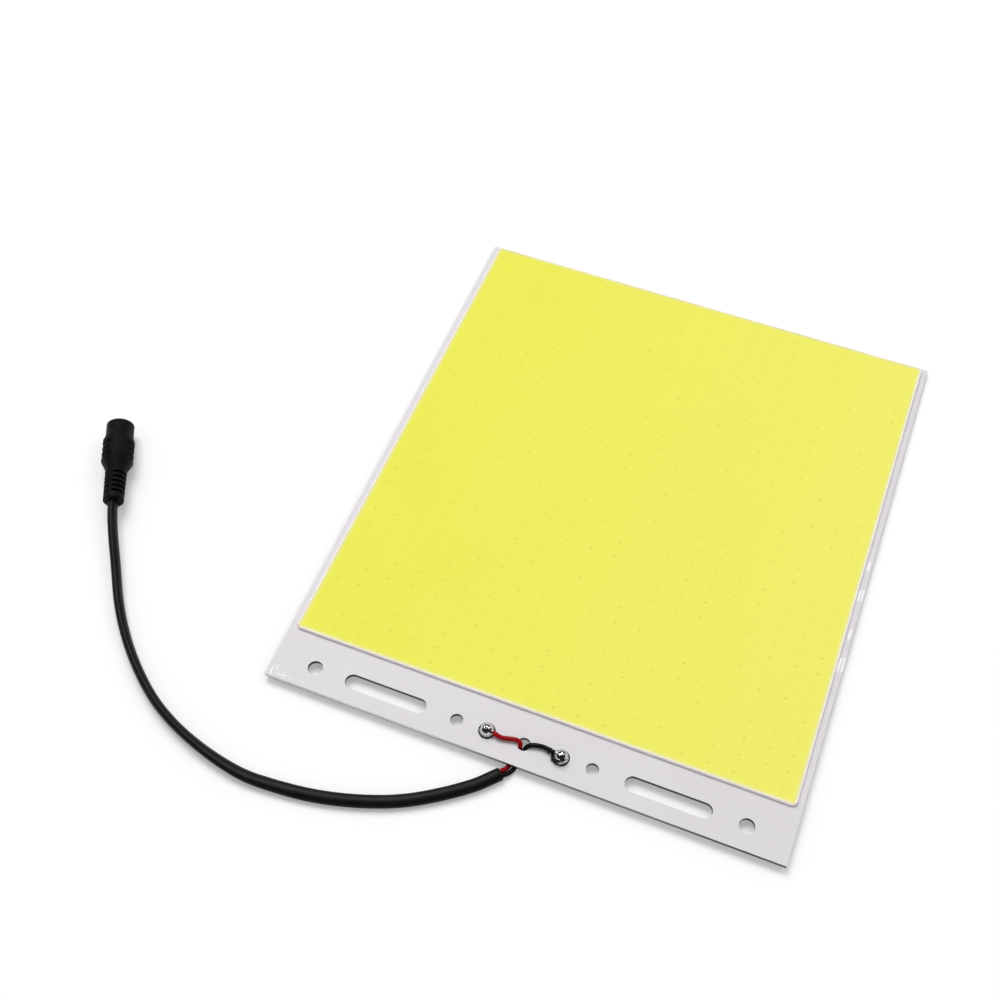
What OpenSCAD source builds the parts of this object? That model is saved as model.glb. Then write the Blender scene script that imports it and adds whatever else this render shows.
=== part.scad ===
// LED panel: a white aluminium board with a yellow light field, and its soldered lead.
// Millimetres. X runs along the hole strip, Y from the strip to the far edge, Z up out of the light field.
// The origin is the middle of the hole row, on the board's underside.

/* [Board] */
// Board width, along the hole strip
plate_w = 180; // [140:1:260]
// Board length, from the hole strip to the far edge
plate_l = 210; // [160:1:320]
// Aluminium sheet thickness
base_t = 1.4; // [0.8:0.1:3]
// Thickness of the layer that bonds copper to aluminium
insulation_t = 0.1; // [0.05:0.01:0.3]
// Copper foil thickness
copper_t = 0.07; // [0.03:0.01:0.08]
// White lacquer thickness, measured from the bond layer
mask_t = 0.1; // [0.09:0.01:0.3]

/* [Hole strip] */
// Hole row to the strip's edge
row_inset = 8; // [6:0.5:14]
// Diameter of the outer fixing holes
end_hole_d = 5.2; // [3:0.1:7]
// Outer fixing hole to the board's middle
end_hole_x = 75; // [70:0.5:80]
// Overall length of a hanging slot
slot_l = 29.2; // [16:0.2:36]
// Width of a hanging slot
slot_w = 5.4; // [3:0.1:7]
// Middle of a hanging slot to the board's middle
slot_x = 49.2; // [46:0.2:52]
// Diameter of the inner fixing holes
inner_hole_d = 4.3; // [3:0.1:6]
// Inner fixing hole to the board's middle
inner_hole_x = 23.6; // [21:0.2:27]
// Diameter of the hole that the wires come up through
wire_hole_d = 4.6; // [4.2:0.1:6]

/* [Light field] */
// Board's side edge to the bead
field_side = 2.1; // [1:0.1:8]
// Hole row to the bead
field_front = 11.3; // [11:0.1:20]
// Board's far edge to the bead
field_back = 0.4; // [0.2:0.1:8]
// Width of the bead that dams the coat
bead_w = 1.2; // [0.8:0.1:1.6]
// Height of the bead
bead_h = 1.1; // [0.9:0.1:2]
// Corner radius of the bead's centre line
bead_corner = 1.4; // [1:0.1:6]
// How far the coat stays below the bead's top
coat_sink = 0.15; // [0.05:0.05:0.3]

/* [Dies] */
// Columns of dies, a multiple of the four in series
die_columns = 20; // [8:4:32]
// Dies in a column
die_rows = 30; // [10:1:40]
// Die length across the copper gap
die_l = 1; // [0.6:0.1:1.6]
// Die width
die_w = 0.55; // [0.3:0.05:1]
// Die thickness
die_t = 0.2; // [0.1:0.05:0.4]
// Outer column to the bead's inner foot
die_edge = 4.3; // [3:0.1:6]
// Outer column to the next one
die_first_step = 7.6; // [6:0.1:9]
// First row to the bead's inner foot
die_front = 2.8; // [2.5:0.1:5]
// Last row to the bead's inner foot
die_back = 3.9; // [3.5:0.1:6]
// Gap between copper strips
strip_gap = 0.25; // [0.15:0.05:0.4]

/* [Solder] */
// Middle of a solder joint to the board's middle
joint_x = 12.9; // [11.5:0.1:15]
// Diameter of the bare pad in the lacquer
pad_d = 5.6; // [4:0.1:6.5]
// Diameter of the solder ball
solder_d = 4.5; // [3.6:0.1:5]
// Height of the ball's middle over the copper
solder_rise = 0.8; // [0.5:0.1:1.4]
// Height of the skirt round the ball's foot
skirt_h = 0.45; // [0.2:0.05:0.8]

/* [Lead] */
// Diameter of an insulated core
core_d = 1.6; // [1.2:0.1:1.8]
// Diameter of a core's bare end
bare_d = 0.8; // [0.5:0.1:1.1]
// How far a bare end reaches into its joint
bare_l = 2.2; // [1:0.1:2.6]
// Height of a core where it enters its joint, over the lacquer
core_rise = 1.3; // [1:0.1:1.6]
// Width of the oval jacket
jacket_w = 4.5; // [4:0.1:6]
// Thickness of the oval jacket
jacket_t = 3.2; // [2.6:0.1:4]
// Clearance round a core
core_fit = 0.02; // [0.01:0.01:0.05]

/* [Jack] */
// Length over the whole moulding
jack_l = 34.3; // [30:0.1:45]
// Socket bore
socket_d = 5.8; // [5:0.1:6.5]
// Socket depth
socket_depth = 10; // [8:0.5:12]
// Thickness of the liner round the socket
liner_wall = 1; // [0.8:0.1:1.5]
// Thickness of the liner's floor
liner_floor = 3; // [2:0.5:4]
// Centre pin diameter
pin_d = 2; // [1.3:0.1:2.5]
// How far the pin's tip lies inside the mouth
pin_inset = 1; // [0.5:0.1:2]
// Moulding thickness round the liner
skin = 1.15; // [0.6:0.05:2]
// Length of the smooth nose
nose_l = 6; // [4:0.2:7]
// Length of the slope between nose and grip
shoulder_l = 1.7; // [1:0.1:3]
// Step from the nose up to the grip
grip_step = 0.7; // [0.5:0.05:1.6]
// Length of the grip
grip_l = 9.1; // [8.5:0.1:11]
// Spacing of the grooves between the grip's ribs
rib_pitch = 2.5; // [2:0.1:2.6]
// Width of a rib at its crest
rib_w = 0.4; // [0.3:0.05:0.6]
// Width of a groove at its floor
groove_w = 0.8; // [0.5:0.1:1.2]
// Depth of a groove
groove_t = 0.8; // [0.3:0.05:0.9]
// Sweep of a groove round one side of the grip, in degrees
groove_sweep = 118; // [90:1:150]
// Length of the slotted strain relief
relief_l = 13.8; // [11:0.2:15]
// Strain relief diameter at the grip
relief_d = 7.8; // [7:0.1:9]
// Strain relief diameter at the cable
relief_tail_d = 7.4; // [6.5:0.1:8.5]
// Diameter left inside the slots
relief_core_d = 4.9; // [4.6:0.1:6]
// Width of a slot in the strain relief
relief_slot_w = 1; // [0.6:0.05:1.3]
// Sweep of a slot round the strain relief, in degrees
relief_sweep = 155; // [120:1:165]

/* [Hidden] */
$fn = 48;
eps = 0.5;
copper_z = base_t + insulation_t;
die_z = copper_z + copper_t;
top_z = copper_z + mask_t;
die_top = die_z + die_t;
near_y = -row_inset;
far_y = plate_l - row_inset;

// bead centre line and the coat inside it
line_w = plate_w - 2 * field_side - bead_w;
line_y0 = field_front + bead_w / 2;
line_y1 = far_y - field_back - bead_w / 2;
inner_x = (line_w - bead_w) / 2;
inner_y0 = line_y0 + bead_w / 2;
inner_y1 = line_y1 - bead_w / 2;
coat_t = bead_h - coat_sink;

// die grid
outer_col = inner_x - die_edge;
col_pitch = 2 * (outer_col - die_first_step) / (die_columns - 3);
row_y0 = inner_y0 + die_front;
row_pitch = (inner_y1 - die_back - row_y0) / (die_rows - 1);

// copper: strips under the field, a bus at each end, and a way back along the strip
series = 4;
strip_y0 = row_y0 - die_w / 2 - 0.6;
strip_y1 = row_y0 + (die_rows - 1) * row_pitch + die_w / 2 + 0.6;
strip_x = inner_x - 0.6;
front_bus = [strip_y0 - 3.2, strip_y0 - 0.7];
back_bus = [strip_y1 + 0.7, strip_y1 + 2.4];
return_y = [front_bus[0] - 5.5, front_bus[0] - 2.2];
pad_ring = 0.4;
feed_w = 4;

// cores under the board, in the wire hole and over the lacquer
core_r = core_d / 2;
core_x = core_r + core_fit;
under_z = -core_r - core_fit;
hole_y = -sqrt(pow(wire_hole_d / 2 - core_r - core_fit, 2) - pow(core_x, 2));
over_z = top_z + core_r + 0.15;
joint_z = top_z + core_rise;
core_end = joint_x - solder_d / 2 + 0.35;
core_y = 0.4;

// the board leans on its far edge and on the cores, so the lead lies on a slightly tilted floor
function rest_z(y) = 2 * under_z * (far_y - y) / plate_l;
function jacket_half(roll) = norm([jacket_w / 2 * sin(roll), jacket_t / 2 * cos(roll)]);

// jack, built along +X from the cable to the mouth, and rolled a little about that line
jack_at = [-170.7, 31.8];
jack_turn = 115.7;
jack_roll = 16;
jack_way = [cos(jack_turn), sin(jack_turn)];
liner_r = socket_d / 2 + liner_wall;
nose_r = liner_r + skin;
grip_r = nose_r + grip_step;
liner_l = socket_depth + liner_floor;
grip_x1 = jack_l - nose_l - shoulder_l;
grip_x0 = grip_x1 - grip_l;
jack_z = rest_z(jack_at[1] + jack_way[1] * (grip_x0 + grip_x1) / 2) + grip_r;
relief_slots = 5;
relief_land = [3.2, 2.5];
relief_pitch = (relief_l - relief_land[0] - relief_land[1]) / (relief_slots - 1);
relief_seam = 58;
spring_t = 0.3;
spring_w = 1.8;
spring_r = socket_d / 2 + 0.4;

// jacket route from the board to the jack: x, y, roll of the oval, lift off the floor
jacket_end = [-3.5, -11.5];
lead_points = [
    [-10, -18.5, 0, 0], [-20, -26, 0, 0], [-30, -32, 0, 0], [-40, -36, 0, 0], [-50, -39, 0, 0],
    [-60, -41, 0, 0], [-70, -42, 10, 0], [-80, -42.5, 25, 0], [-90, -41, 43, 0], [-100, -38.5, 62, 0],
    [-110, -35, 76, 0], [-120, -30, 84, 0], [-129.8, -22.9, 86, 0], [-139.7, -13.9, 82, 0],
    [-149.2, -2.9, 77, 0.3], [-158, 10.7, 75, 1.2], [-164.6, 20.6, 74, 2.6]
];
jacket_way = unit(jacket_end - [lead_points[0][0], lead_points[0][1]]);
jacket_z = rest_z(jacket_end[1]) + jacket_half(0);
jack_lead = jack_at - 4 * jack_way;
jacket_run = jacket_end - 3 * jacket_way;
lead_route = concat(
    [[jacket_end[0], jacket_end[1], jacket_z, 0], [jacket_run[0], jacket_run[1], jacket_z, 0]],
    [for (p = lead_points) [p[0], p[1], rest_z(p[1]) + jacket_half(p[2]) + p[3], p[2]]],
    [[jack_lead[0], jack_lead[1], jack_z, 74], [jack_at[0], jack_at[1], jack_z, 74]]
);

// core routes from the jacket's end, under the board, up the wire hole and over to the joints
across = [jacket_way[1], -jacket_way[0]];
red_start = jacket_end - core_x * across;
black_start = jacket_end + core_x * across;
red_route = [
    [red_start[0], red_start[1], jacket_z],
    [red_start[0] + 0.6 * jacket_way[0], red_start[1] + 0.6 * jacket_way[1], jacket_z],
    [-2.8, -9.4, under_z * 0.8], [-2.2, -8.2, under_z], [-1.5, -5.6, under_z],
    [-core_x - 0.1, -3.2, under_z], [-core_x, hole_y - 0.6, under_z], [-core_x, hole_y, under_z + 0.5],
    [-core_x, hole_y, 0.4], [-core_x, hole_y + 0.2, top_z], [-1.2, -0.1, over_z - 0.2], [-2.5, 0.3, over_z],
    [-5, -0.3, over_z], [-7.2, -0.9, over_z], [-8.8, -0.8, joint_z - 0.1],
    [core_r - core_end, -core_y, joint_z], [-core_end, -core_y, joint_z]
];
black_route = [
    [black_start[0], black_start[1], jacket_z],
    [black_start[0] + 0.6 * jacket_way[0], black_start[1] + 0.6 * jacket_way[1], jacket_z],
    [-1.3, -10.4, under_z * 0.6], [-0.5, -8.9, under_z], [0, -7, under_z], [0.5, -4.8, under_z],
    [core_x, -3, under_z], [core_x, hole_y - 0.6, under_z], [core_x, hole_y, under_z + 0.5],
    [core_x, hole_y, 0.4], [core_x + 0.1, hole_y + 0.2, top_z - 0.2], [1.6, -0.3, over_z - 0.4],
    [2.6, 0.3, over_z], [4.4, 0.8, over_z + 0.1], [6.4, 1.1, over_z], [8.3, 0.9, joint_z - 0.2],
    [core_end - core_r, core_y, joint_z], [core_end, core_y, joint_z]
];

function unit(v) = v / norm(v);
function place(p) = [p[0], p[1], p[2]];
function heading(p, i) = unit(place(p[min(i + 1, len(p) - 1)]) - place(p[max(i - 1, 0)]));
// one round of corner cutting that keeps both ends
function eased(p) = [
    p[0],
    for (i = [0 : len(p) - 2], k = [0.25, 0.75])
        if (!(i == 0 && k < 0.5) && !(i == len(p) - 2 && k > 0.5)) (1 - k) * p[i] + k * p[i + 1],
    p[len(p) - 1]
];
// side directions carried along a route with the least turning
function carried(p, n, i = 0) = i == len(p) ? [] :
    let (t = heading(p, i), m = unit(n - (n * t) * t)) concat([m], carried(p, m, i + 1));
// side directions of a jacket that rolls as it goes
function rolled(p) = [for (i = [0 : len(p) - 1])
    let (t = heading(p, i), n = unit(cross([0, 0, 1], t)), b = cross(t, n))
    n * cos(p[i][3]) + b * sin(p[i][3])];
function col_x(i) = i == 0 ? -outer_col : i == die_columns - 1 ? outer_col : (i - (die_columns - 1) / 2) * col_pitch;
function edge_x(k) = k == 0 ? -strip_x - strip_gap / 2 : k > die_columns ? strip_x + strip_gap / 2 : col_x(k - 1);

module tube(p, side, a, b, sides) {
    n = len(p);
    ring = [for (i = [0 : n - 1], j = [0 : sides - 1])
        let (t = heading(p, i), up = cross(t, side[i]), q = 360 * (j + 0.5) / sides)
        place(p[i]) + a * cos(q) * side[i] + b * sin(q) * up];
    walls = [for (i = [0 : n - 2], j = [0 : sides - 1])
        let (k = (j + 1) % sides)
        each [[i * sides + j, (i + 1) * sides + j, i * sides + k],
            [i * sides + k, (i + 1) * sides + j, (i + 1) * sides + k]]];
    first = [for (j = [0 : sides - 1]) j];
    last = [for (j = [sides - 1 : -1 : 0]) (n - 1) * sides + j];
    polyhedron(ring, concat(walls, [first, last]));
}

module slot_shape(x) {
    for (s = [-1, 1])
        translate([x + s * (slot_l - slot_w) / 2, 0])
            circle(d = slot_w);
    translate([x - (slot_l - slot_w) / 2, -slot_w / 2])
        square([slot_l - slot_w, slot_w]);
}

module board_shape() {
    difference() {
        translate([-plate_w / 2, near_y])
            square([plate_w, plate_l]);
        for (s = [-1, 1]) {
            translate([s * end_hole_x, 0])
                circle(d = end_hole_d);
            slot_shape(s * slot_x);
            translate([s * inner_hole_x, 0])
                circle(d = inner_hole_d);
        }
        circle(d = wire_hole_d);
    }
}

module die_shapes() {
    for (i = [0 : die_columns - 1], j = [0 : die_rows - 1])
        translate([col_x(i) - die_l / 2, row_y0 + j * row_pitch - die_w / 2])
            square([die_l, die_w]);
}

module strip_shape(k, y0, y1) {
    translate([edge_x(k) + strip_gap / 2, y0])
        square([edge_x(k + 1) - edge_x(k) - strip_gap, y1 - y0]);
}

module bar(x0, x1, y0, y1) {
    translate([x0, y0])
        square([x1 - x0, y1 - y0]);
}

module pad_shape(s, ring) {
    translate([s * joint_x, 0])
        circle(d = pad_d + 2 * ring);
}

// every eighth strip feeds the field, joined at the front
module positive_shape() {
    last = floor(die_columns / (2 * series)) * 2 * series;
    for (k = [0 : 2 * series : last])
        strip_shape(k, front_bus[0], strip_y1);
    bar(edge_x(0) + strip_gap / 2, edge_x(last + 1) - strip_gap / 2, front_bus[0], front_bus[1]);
    bar(-joint_x - feed_w / 2, -joint_x + feed_w / 2, 0, front_bus[1]);
    pad_shape(-1, pad_ring);
}

// the strips halfway between them drain it, joined at the back, with a way back down the right side
module negative_shape() {
    for (k = [series : 2 * series : die_columns])
        strip_shape(k, strip_y0, back_bus[1]);
    bar(edge_x(series) + strip_gap / 2, edge_x(die_columns + 1) - strip_gap / 2, back_bus[0], back_bus[1]);
    strip_shape(die_columns, return_y[0], strip_y0 + 1);
    bar(joint_x, edge_x(die_columns + 1) - strip_gap / 2, return_y[0], return_y[1]);
    bar(joint_x - feed_w / 2, joint_x + feed_w / 2, 0, return_y[1]);
    pad_shape(1, pad_ring);
}

module link_shape() {
    for (k = [0 : die_columns])
        if (k % series != 0)
            strip_shape(k, strip_y0, strip_y1);
}

module rounded(w, y0, y1, r) {
    bar(-w / 2, w / 2, y0 + r, y1 - r);
    bar(r - w / 2, w / 2 - r, y0, y1);
    for (s = [-1, 1], y = [y0 + r, y1 - r])
        translate([s * (w / 2 - r), y])
            circle(r);
}

module bead_profile() {
    shoulder = bead_h - bead_w / 2;
    translate([-bead_w / 2, 0])
        square([bead_w, shoulder]);
    intersection() {
        translate([0, shoulder])
            circle(d = bead_w);
        translate([-bead_w / 2, shoulder / 2])
            square([bead_w, bead_h]);
    }
}

module base_plate() {
    color("silver")
        linear_extrude(base_t)
            board_shape();
}

module insulation_layer() {
    color("gainsboro")
        translate([0, 0, base_t])
            linear_extrude(insulation_t)
                board_shape();
}

module copper() {
    color("peru")
        translate([0, 0, copper_z])
            linear_extrude(copper_t)
                children();
}

module positive_track() {
    copper() positive_shape();
}

module negative_track() {
    copper() negative_shape();
}

module link_strips() {
    copper() link_shape();
}

// lacquer fills the gaps in the copper and covers it, with windows for dies and pads
module solder_mask() {
    color("white") {
        translate([0, 0, copper_z])
            linear_extrude(copper_t)
                difference() {
                    board_shape();
                    positive_shape();
                    negative_shape();
                    link_shape();
                }
        translate([0, 0, die_z])
            linear_extrude(mask_t - copper_t)
                difference() {
                    board_shape();
                    die_shapes();
                    pad_shape(-1, 0);
                    pad_shape(1, 0);
                }
    }
}

module led_dies() {
    color("steelblue")
        translate([0, 0, die_z])
            linear_extrude(die_t)
                die_shapes();
}

module dam_bead() {
    x = line_w / 2 - bead_corner;
    y0 = line_y0 + bead_corner;
    y1 = line_y1 - bead_corner;
    corners = [[x, y1], [-x, y1], [-x, y0], [x, y0]];
    color("white")
        translate([0, 0, top_z])
            for (q = [0 : 3]) {
                translate(corners[q])
                    rotate([0, 0, 90 * q])
                        rotate_extrude(angle = 90)
                            translate([bead_corner, 0])
                                bead_profile();
                translate(corners[q])
                    rotate([0, 0, 90 * q])
                        translate([bead_corner, 0, 0])
                            rotate([90, 0, 0])
                                linear_extrude(q % 2 == 0 ? y1 - y0 : 2 * x)
                                    bead_profile();
            }
}

module phosphor_coat() {
    color("gold")
        difference() {
            union() {
                translate([0, 0, top_z])
                    linear_extrude(die_top - top_z)
                        difference() {
                            rounded(line_w, line_y0, line_y1, bead_corner);
                            die_shapes();
                        }
                translate([0, 0, die_top])
                    linear_extrude(top_z + coat_t - die_top)
                        rounded(line_w, line_y0, line_y1, bead_corner);
            }
            dam_bead();
        }
}

// a ball of solder on a flared skirt, with a socket for the core and its bare end
module solder_joint(s) {
    color("lightgray")
        difference() {
            translate([s * joint_x, 0, die_z])
                rotate_extrude() {
                    intersection() {
                        translate([0, solder_rise])
                            circle(d = solder_d);
                        square([solder_d, solder_rise + solder_d]);
                    }
                    difference() {
                        square([pad_d / 2, skirt_h]);
                        translate([pad_d / 2, skirt_h + mask_t - copper_t])
                            circle(skirt_h);
                    }
                }
            translate([s * core_end, s * core_y, joint_z])
                rotate([0, s * 90, 0]) {
                    cylinder(h = bare_l, d = bare_d);
                    translate([0, 0, -solder_d])
                        cylinder(h = solder_d, r = core_r);
                }
        }
}

module solder_joint_positive() {
    solder_joint(-1);
}

module solder_joint_negative() {
    solder_joint(1);
}

module wire_end(s) {
    color("lightgray")
        translate([s * core_end, s * core_y, joint_z])
            rotate([0, s * 90, 0])
                cylinder(h = bare_l, d = bare_d);
}

module red_wire_end() {
    wire_end(-1);
}

module black_wire_end() {
    wire_end(1);
}

module core(route) {
    p = eased(route);
    tube(p, carried(p, [0, 0, 1]), core_r, core_r, 8);
}

module red_core() {
    color("firebrick") core(red_route);
}

module black_core() {
    color("black") core(black_route);
}

module lead_jacket() {
    p = eased(lead_route);
    color("black") tube(p, rolled(p), jacket_w / 2, jacket_t / 2, 12);
}

module at_jack() {
    translate([jack_at[0], jack_at[1], jack_z])
        rotate([jack_roll, 0, jack_turn])
            children();
}

// a solid turned about X from a profile drawn as [along X, radius]
module turned() {
    rotate([90, 0, 90])
        rotate_extrude()
            rotate([0, 0, 90])
                mirror([0, 1])
                    children();
}

module along_x(x, l, r) {
    translate([x, 0, 0])
        rotate([0, 90, 0])
            cylinder(h = l, r = r);
}

// a square groove from radius r outwards, part of the way round the X axis
module groove(x, w, r, from, sweep) {
    translate([x - w / 2, 0, 0])
        rotate([90, 0, 90])
            rotate([0, 0, from])
                rotate_extrude(angle = sweep)
                    translate([r, 0])
                        square([grip_r, w]);
}

// a groove with sloping walls between two ribs of the grip
module rib_gap(x, from) {
    open_w = rib_pitch - rib_w;
    flare = (open_w - groove_w) / 2 / groove_t;
    translate([x, 0, 0])
        rotate([90, 0, 90])
            rotate([0, 0, from])
                rotate_extrude(angle = groove_sweep)
                    polygon([[grip_r - groove_t, -groove_w / 2], [grip_r + 1, -open_w / 2 - flare],
                        [grip_r + 1, open_w / 2 + flare], [grip_r - groove_t, groove_w / 2]]);
}

module jack_body() {
    grooves = 3;
    land = 180 - relief_sweep;
    color("black")
        at_jack()
            difference() {
                turned()
                    polygon([[0, 0], [0, relief_tail_d / 2 - 0.5], [0.5, relief_tail_d / 2], [relief_l, relief_d / 2],
                        [grip_x0, grip_r], [grip_x1, grip_r], [grip_x1 + shoulder_l, nose_r], [jack_l - 0.3, nose_r],
                        [jack_l, nose_r - 0.3], [jack_l, 0]]);
                for (i = [0.5 : grooves], s = [0, 180])
                    rib_gap(grip_x0 + rib_w / 2 + i * rib_pitch, s - groove_sweep / 2);
                for (i = [0 : relief_slots - 1], s = [0, 180])
                    groove(relief_land[0] + i * relief_pitch, relief_slot_w, relief_core_d / 2,
                        relief_seam + land / 2 + s, relief_sweep);
                along_x(jack_l - liner_l, liner_l + eps, liner_r);
            }
}

module jack_liner() {
    color("dimgray")
        at_jack()
            difference() {
                along_x(jack_l - liner_l, liner_l, liner_r);
                along_x(jack_l - socket_depth, socket_depth + eps, socket_d / 2);
                along_x(jack_l - liner_l - eps, liner_l, pin_d / 2);
                translate([jack_l - liner_l - eps, -spring_w / 2, -spring_r])
                    cube([liner_l + eps - pin_inset, spring_w, spring_r - pin_d / 2 - 0.4]);
            }
}

// a leaf that lies in the liner's groove and bows into the bore
module jack_spring_contact() {
    l = liner_l - pin_inset - 0.2;
    bow = spring_r - socket_d / 2 + 0.15;
    color("silver")
        at_jack()
            translate([jack_l - liner_l, spring_w / 2, -spring_r])
                rotate([90, 0, 0])
                    linear_extrude(spring_w)
                        polygon([[0, 0], [0.4 * l, 0], [0.7 * l, bow - spring_t], [l, 0], [l, spring_t],
                            [0.7 * l, bow], [0.4 * l, spring_t], [0, spring_t]]);
}

module jack_centre_pin() {
    tip = pin_d / 4;
    color("silver")
        at_jack()
            turned()
                polygon([[jack_l - liner_l, 0], [jack_l - liner_l, pin_d / 2], [jack_l - pin_inset - tip, pin_d / 2],
                    [jack_l - pin_inset, pin_d / 2 - tip], [jack_l - pin_inset, 0]]);
}

base_plate();
insulation_layer();
positive_track();
negative_track();
link_strips();
solder_mask();
led_dies();
dam_bead();
phosphor_coat();
solder_joint_positive();
solder_joint_negative();
red_wire_end();
black_wire_end();
red_core();
black_core();
lead_jacket();
jack_body();
jack_liner();
jack_spring_contact();
jack_centre_pin();
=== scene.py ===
import math
import bpy
from mathutils import Matrix, Vector


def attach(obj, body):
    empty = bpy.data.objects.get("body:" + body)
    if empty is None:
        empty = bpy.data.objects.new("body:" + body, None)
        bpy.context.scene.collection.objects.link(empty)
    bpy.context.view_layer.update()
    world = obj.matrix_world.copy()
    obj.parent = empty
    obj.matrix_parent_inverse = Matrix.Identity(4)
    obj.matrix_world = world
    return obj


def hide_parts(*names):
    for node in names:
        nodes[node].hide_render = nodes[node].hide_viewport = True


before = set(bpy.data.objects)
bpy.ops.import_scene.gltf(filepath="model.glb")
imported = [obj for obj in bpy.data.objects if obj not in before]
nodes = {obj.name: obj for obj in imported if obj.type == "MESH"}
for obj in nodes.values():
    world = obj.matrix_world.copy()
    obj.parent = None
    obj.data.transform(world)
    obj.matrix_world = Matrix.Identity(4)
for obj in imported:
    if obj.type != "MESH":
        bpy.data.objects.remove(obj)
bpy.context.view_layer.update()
print("frame loaded,", len(nodes), "nodes")


def linked(name, data):
    piece = bpy.data.objects.new(name, data)
    bpy.context.scene.collection.objects.link(piece)
    return piece


# camera, solved from the board's corners and holes
view = {
    "place": (0.058644, -0.168669, 0.415748),
    "right": (0.93021, 0.36703, -0.00089),
    "up": (-0.30580, 0.77636, 0.55114),
    "ahead": (-0.20298, 0.51240, -0.83441),
    "lens": 49.19,
    "sensor": 36,
    "nearest": 0.01,
}
eye = bpy.data.cameras.new("viewCamera")
eye.lens = view["lens"]
eye.sensor_width = view["sensor"]
eye.clip_start = view["nearest"]
eyePiece = linked("viewCamera", eye)
turn = Matrix((view["right"], view["up"], -Vector(view["ahead"]))).transposed()
eyePiece.matrix_world = Matrix.Translation(view["place"]) @ turn.to_4x4()
bpy.context.scene.camera = eyePiece
bpy.context.scene.view_settings.view_transform = "Standard"
print("camera set")


# everything is modelled in millimetres and settled into metres at the end
def only(piece):
    bpy.ops.object.select_all(action="DESELECT")
    piece.select_set(True)
    bpy.context.view_layer.objects.active = piece


def added(name):
    piece = bpy.context.active_object
    piece.name = name
    piece.data.name = name
    return piece


def applyPlace(piece):
    only(piece)
    bpy.ops.object.transform_apply(location=True, rotation=True, scale=True)


def finishWith(piece, kind, **values):
    only(piece)
    bpy.ops.object.modifier_add(type=kind)
    step = piece.modifiers[-1]
    for name, value in values.items():
        setattr(step, name, value)
    bpy.ops.object.modifier_apply(modifier=step.name)


def joined(name, pieces):
    only(pieces[0])
    for piece in pieces:
        piece.select_set(True)
    bpy.ops.object.join()
    return added(name)


def openEdit(piece, kind="FACE", action="SELECT"):
    only(piece)
    bpy.ops.object.mode_set(mode="EDIT")
    bpy.ops.mesh.select_mode(type=kind)
    bpy.ops.mesh.select_all(action=action)


def closeEdit():
    bpy.ops.object.mode_set(mode="OBJECT")


# turns every face outward before closing
def closeOutward():
    bpy.ops.mesh.select_all(action="SELECT")
    bpy.ops.mesh.normals_make_consistent(inside=False)
    closeEdit()


# opens a piece with those vertices selected whose place passes a test
def pick(piece, test):
    openEdit(piece, "VERT", "DESELECT")
    closeEdit()
    for corner in piece.data.vertices:
        corner.select = test(corner.co)
    bpy.ops.object.mode_set(mode="EDIT")


# opens a piece with its open borders selected
def pickBorders(piece):
    openEdit(piece, "EDGE", "DESELECT")
    bpy.ops.mesh.select_non_manifold()


def smoothBelow(degrees):
    bpy.ops.object.shade_smooth_by_angle(angle=math.radians(degrees))


def settle(piece, material):
    applyPlace(piece)
    piece.scale = (0.001, 0.001, 0.001)
    applyPlace(piece)
    piece.data.materials.clear()
    piece.data.materials.append(material)
    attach(piece, "root")
    print("made", piece.name, len(piece.data.polygons), "faces")


def between(a, b, share):
    return tuple(p + (q - p) * share for p, q in zip(a, b))


# rounds the bends of a line by cutting its corners, and keeps its ends
def eased(line, rounds=3):
    for _ in range(rounds):
        cut = [line[0]]
        for a, b in zip(line, line[1:]):
            cut += [between(a, b, 0.25), between(a, b, 0.75)]
        cut.append(line[-1])
        line = cut[:1] + cut[2:-2] + cut[-1:]
    return line


# unevenness: waves of a height, a pace and a phase, summed at a station
def waver(station, waves):
    return sum(high * math.sin(station * pace + phase) for high, pace, phase in waves)


def polyCurve(name, dimensions, line, closed):
    shape = bpy.data.curves.new(name, "CURVE")
    shape.dimensions = dimensions
    spline = shape.splines.new("POLY")
    spline.use_cyclic_u = closed
    spline.points.add(len(line) - 1)
    for point, spot in zip(spline.points, line):
        point.co = (spot[0], spot[1], spot[2], 1)
    return linked(name, shape)


def ovalCurve(name, halfX, halfY, sides):
    turns = [math.tau * k / sides for k in range(sides)]
    points = [(halfX * math.cos(angle), halfY * math.sin(angle), 0) for angle in turns]
    return polyCurve(name, "2D", points, True)


# a tube along the line, round or with an outline of its own, as a mesh
tube = {"roundness": 6, "weld": 0.0005, "smooth": 40}


def threaded(name, line, rolls=None, widths=None, depth=0, outline=None, twist="MINIMUM", closed=False):
    piece = polyCurve(name, "3D", line, closed)
    shape = piece.data
    shape.twist_mode = twist
    shape.use_fill_caps = not closed
    shape.bevel_depth = depth
    shape.bevel_resolution = tube["roundness"]
    if outline:
        shape.bevel_mode = "OBJECT"
        shape.bevel_object = outline
    for k, point in enumerate(shape.splines[0].points):
        point.tilt = rolls[k] if rolls else 0
        point.radius = widths[k] if widths else 1
    only(piece)
    bpy.ops.object.convert(target="MESH")
    piece = added(name)
    openEdit(piece, "VERT")
    bpy.ops.mesh.remove_doubles(threshold=tube["weld"])
    closeOutward()
    smoothBelow(tube["smooth"])
    return piece


# node helpers
def feed(tree, socket, value):
    if isinstance(value, bpy.types.NodeSocket):
        tree.links.new(value, socket)
    elif value is not None:
        socket.default_value = value


def newNode(tree, kind, values=None, **settings):
    node = tree.nodes.new("ShaderNode" + kind)
    for name, value in settings.items():
        setattr(node, name, value)
    for name, value in (values or {}).items():
        feed(tree, node.inputs[name], value)
    return node


def calc(tree, how, *terms):
    return newNode(tree, "Math", dict(enumerate(terms)), operation=how).outputs[0]


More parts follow.
